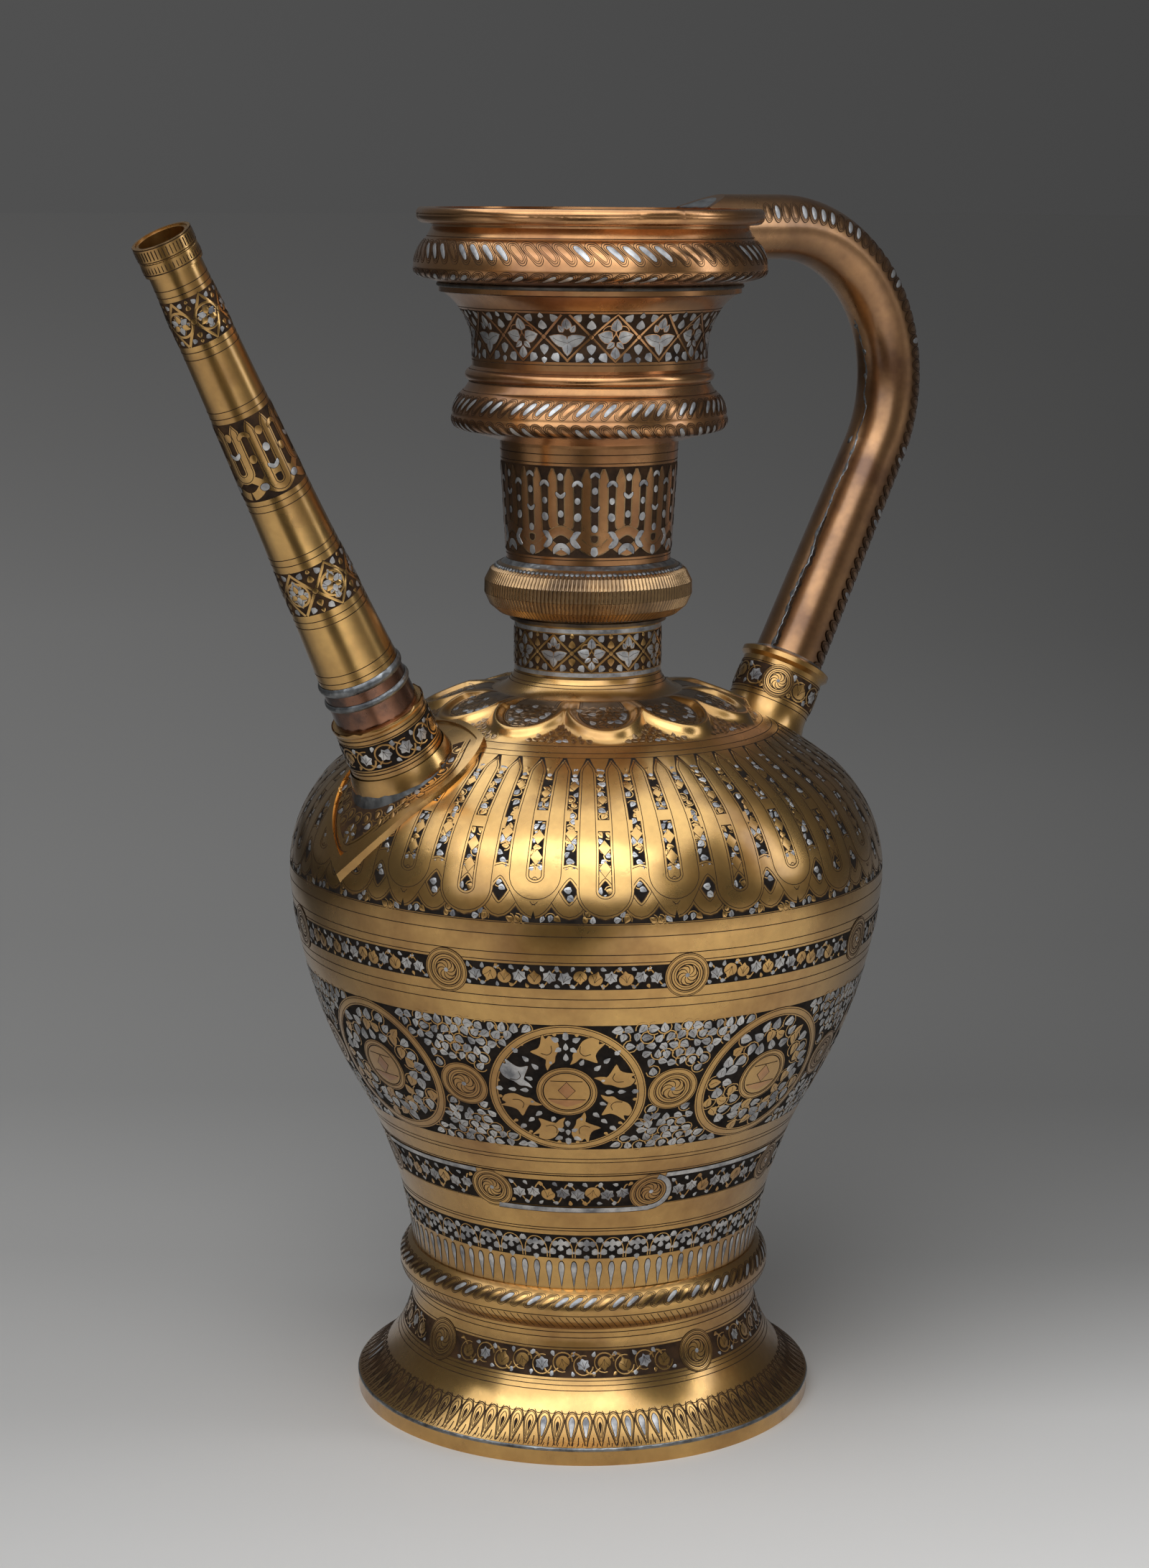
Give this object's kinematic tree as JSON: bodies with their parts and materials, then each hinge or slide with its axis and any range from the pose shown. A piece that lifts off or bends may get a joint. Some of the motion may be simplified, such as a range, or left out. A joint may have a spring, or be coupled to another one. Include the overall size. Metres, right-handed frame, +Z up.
{
  "type": "ibrik ewer",
  "caption": "Sheet-metal ewer on a flared foot, with a swelling body, tall corded neck, cup-shaped open mouth, slender leaning spout and a looped tubular handle.",
  "frame": {"origin": "centre of the foot's bottom edge, where the ewer stands on the floor", "axes": "+Z up along the body's axis, the spout leans out towards -X, the handle stands on +X"},
  "size_m": [0.3719, 0.236, 0.4807],
  "materials": {
    "brass_body": "worn golden brass with dark patina in the engraving",
    "brass_neck": "worn brass, redder than the body",
    "brass_handle": "dark coppery brass, polished by handling",
    "copper_sleeve": "copper-red sheet",
    "silver_inlay": "tarnished silver inlay",
    "solder": "dull grey soft solder"
  },
  "bodies": {
    "root": {"base_rim": "brass_body", "foot_solder": "solder", "foot": "brass_body", "base_plate": "brass_body", "foot_girdle": "brass_body", "body_shell": "brass_body", "neck_silver_lines": "silver_inlay", "corded_collar": "brass_body", "neck_tube": "brass_neck", "neck_solder": "solder", "mouth_bulb": "brass_neck", "mouth_cup": "brass_neck", "mouth_ring": "brass_neck", "mouth_solder": "solder", "rim_lip": "brass_neck", "spout_tube": "brass_body", "spout_ferrule": "brass_body", "spout_sleeve": "copper_sleeve", "spout_ring_upper": "solder", "spout_ring_lower": "solder", "spout_collar": "brass_body", "spout_base_solder": "solder", "spout_escutcheon": "brass_body", "handle_tube": "brass_handle", "handle_rim_solder": "solder", "handle_socket": "brass_body", "handle_socket_solder": "solder"}
  },
  "joints": []
}
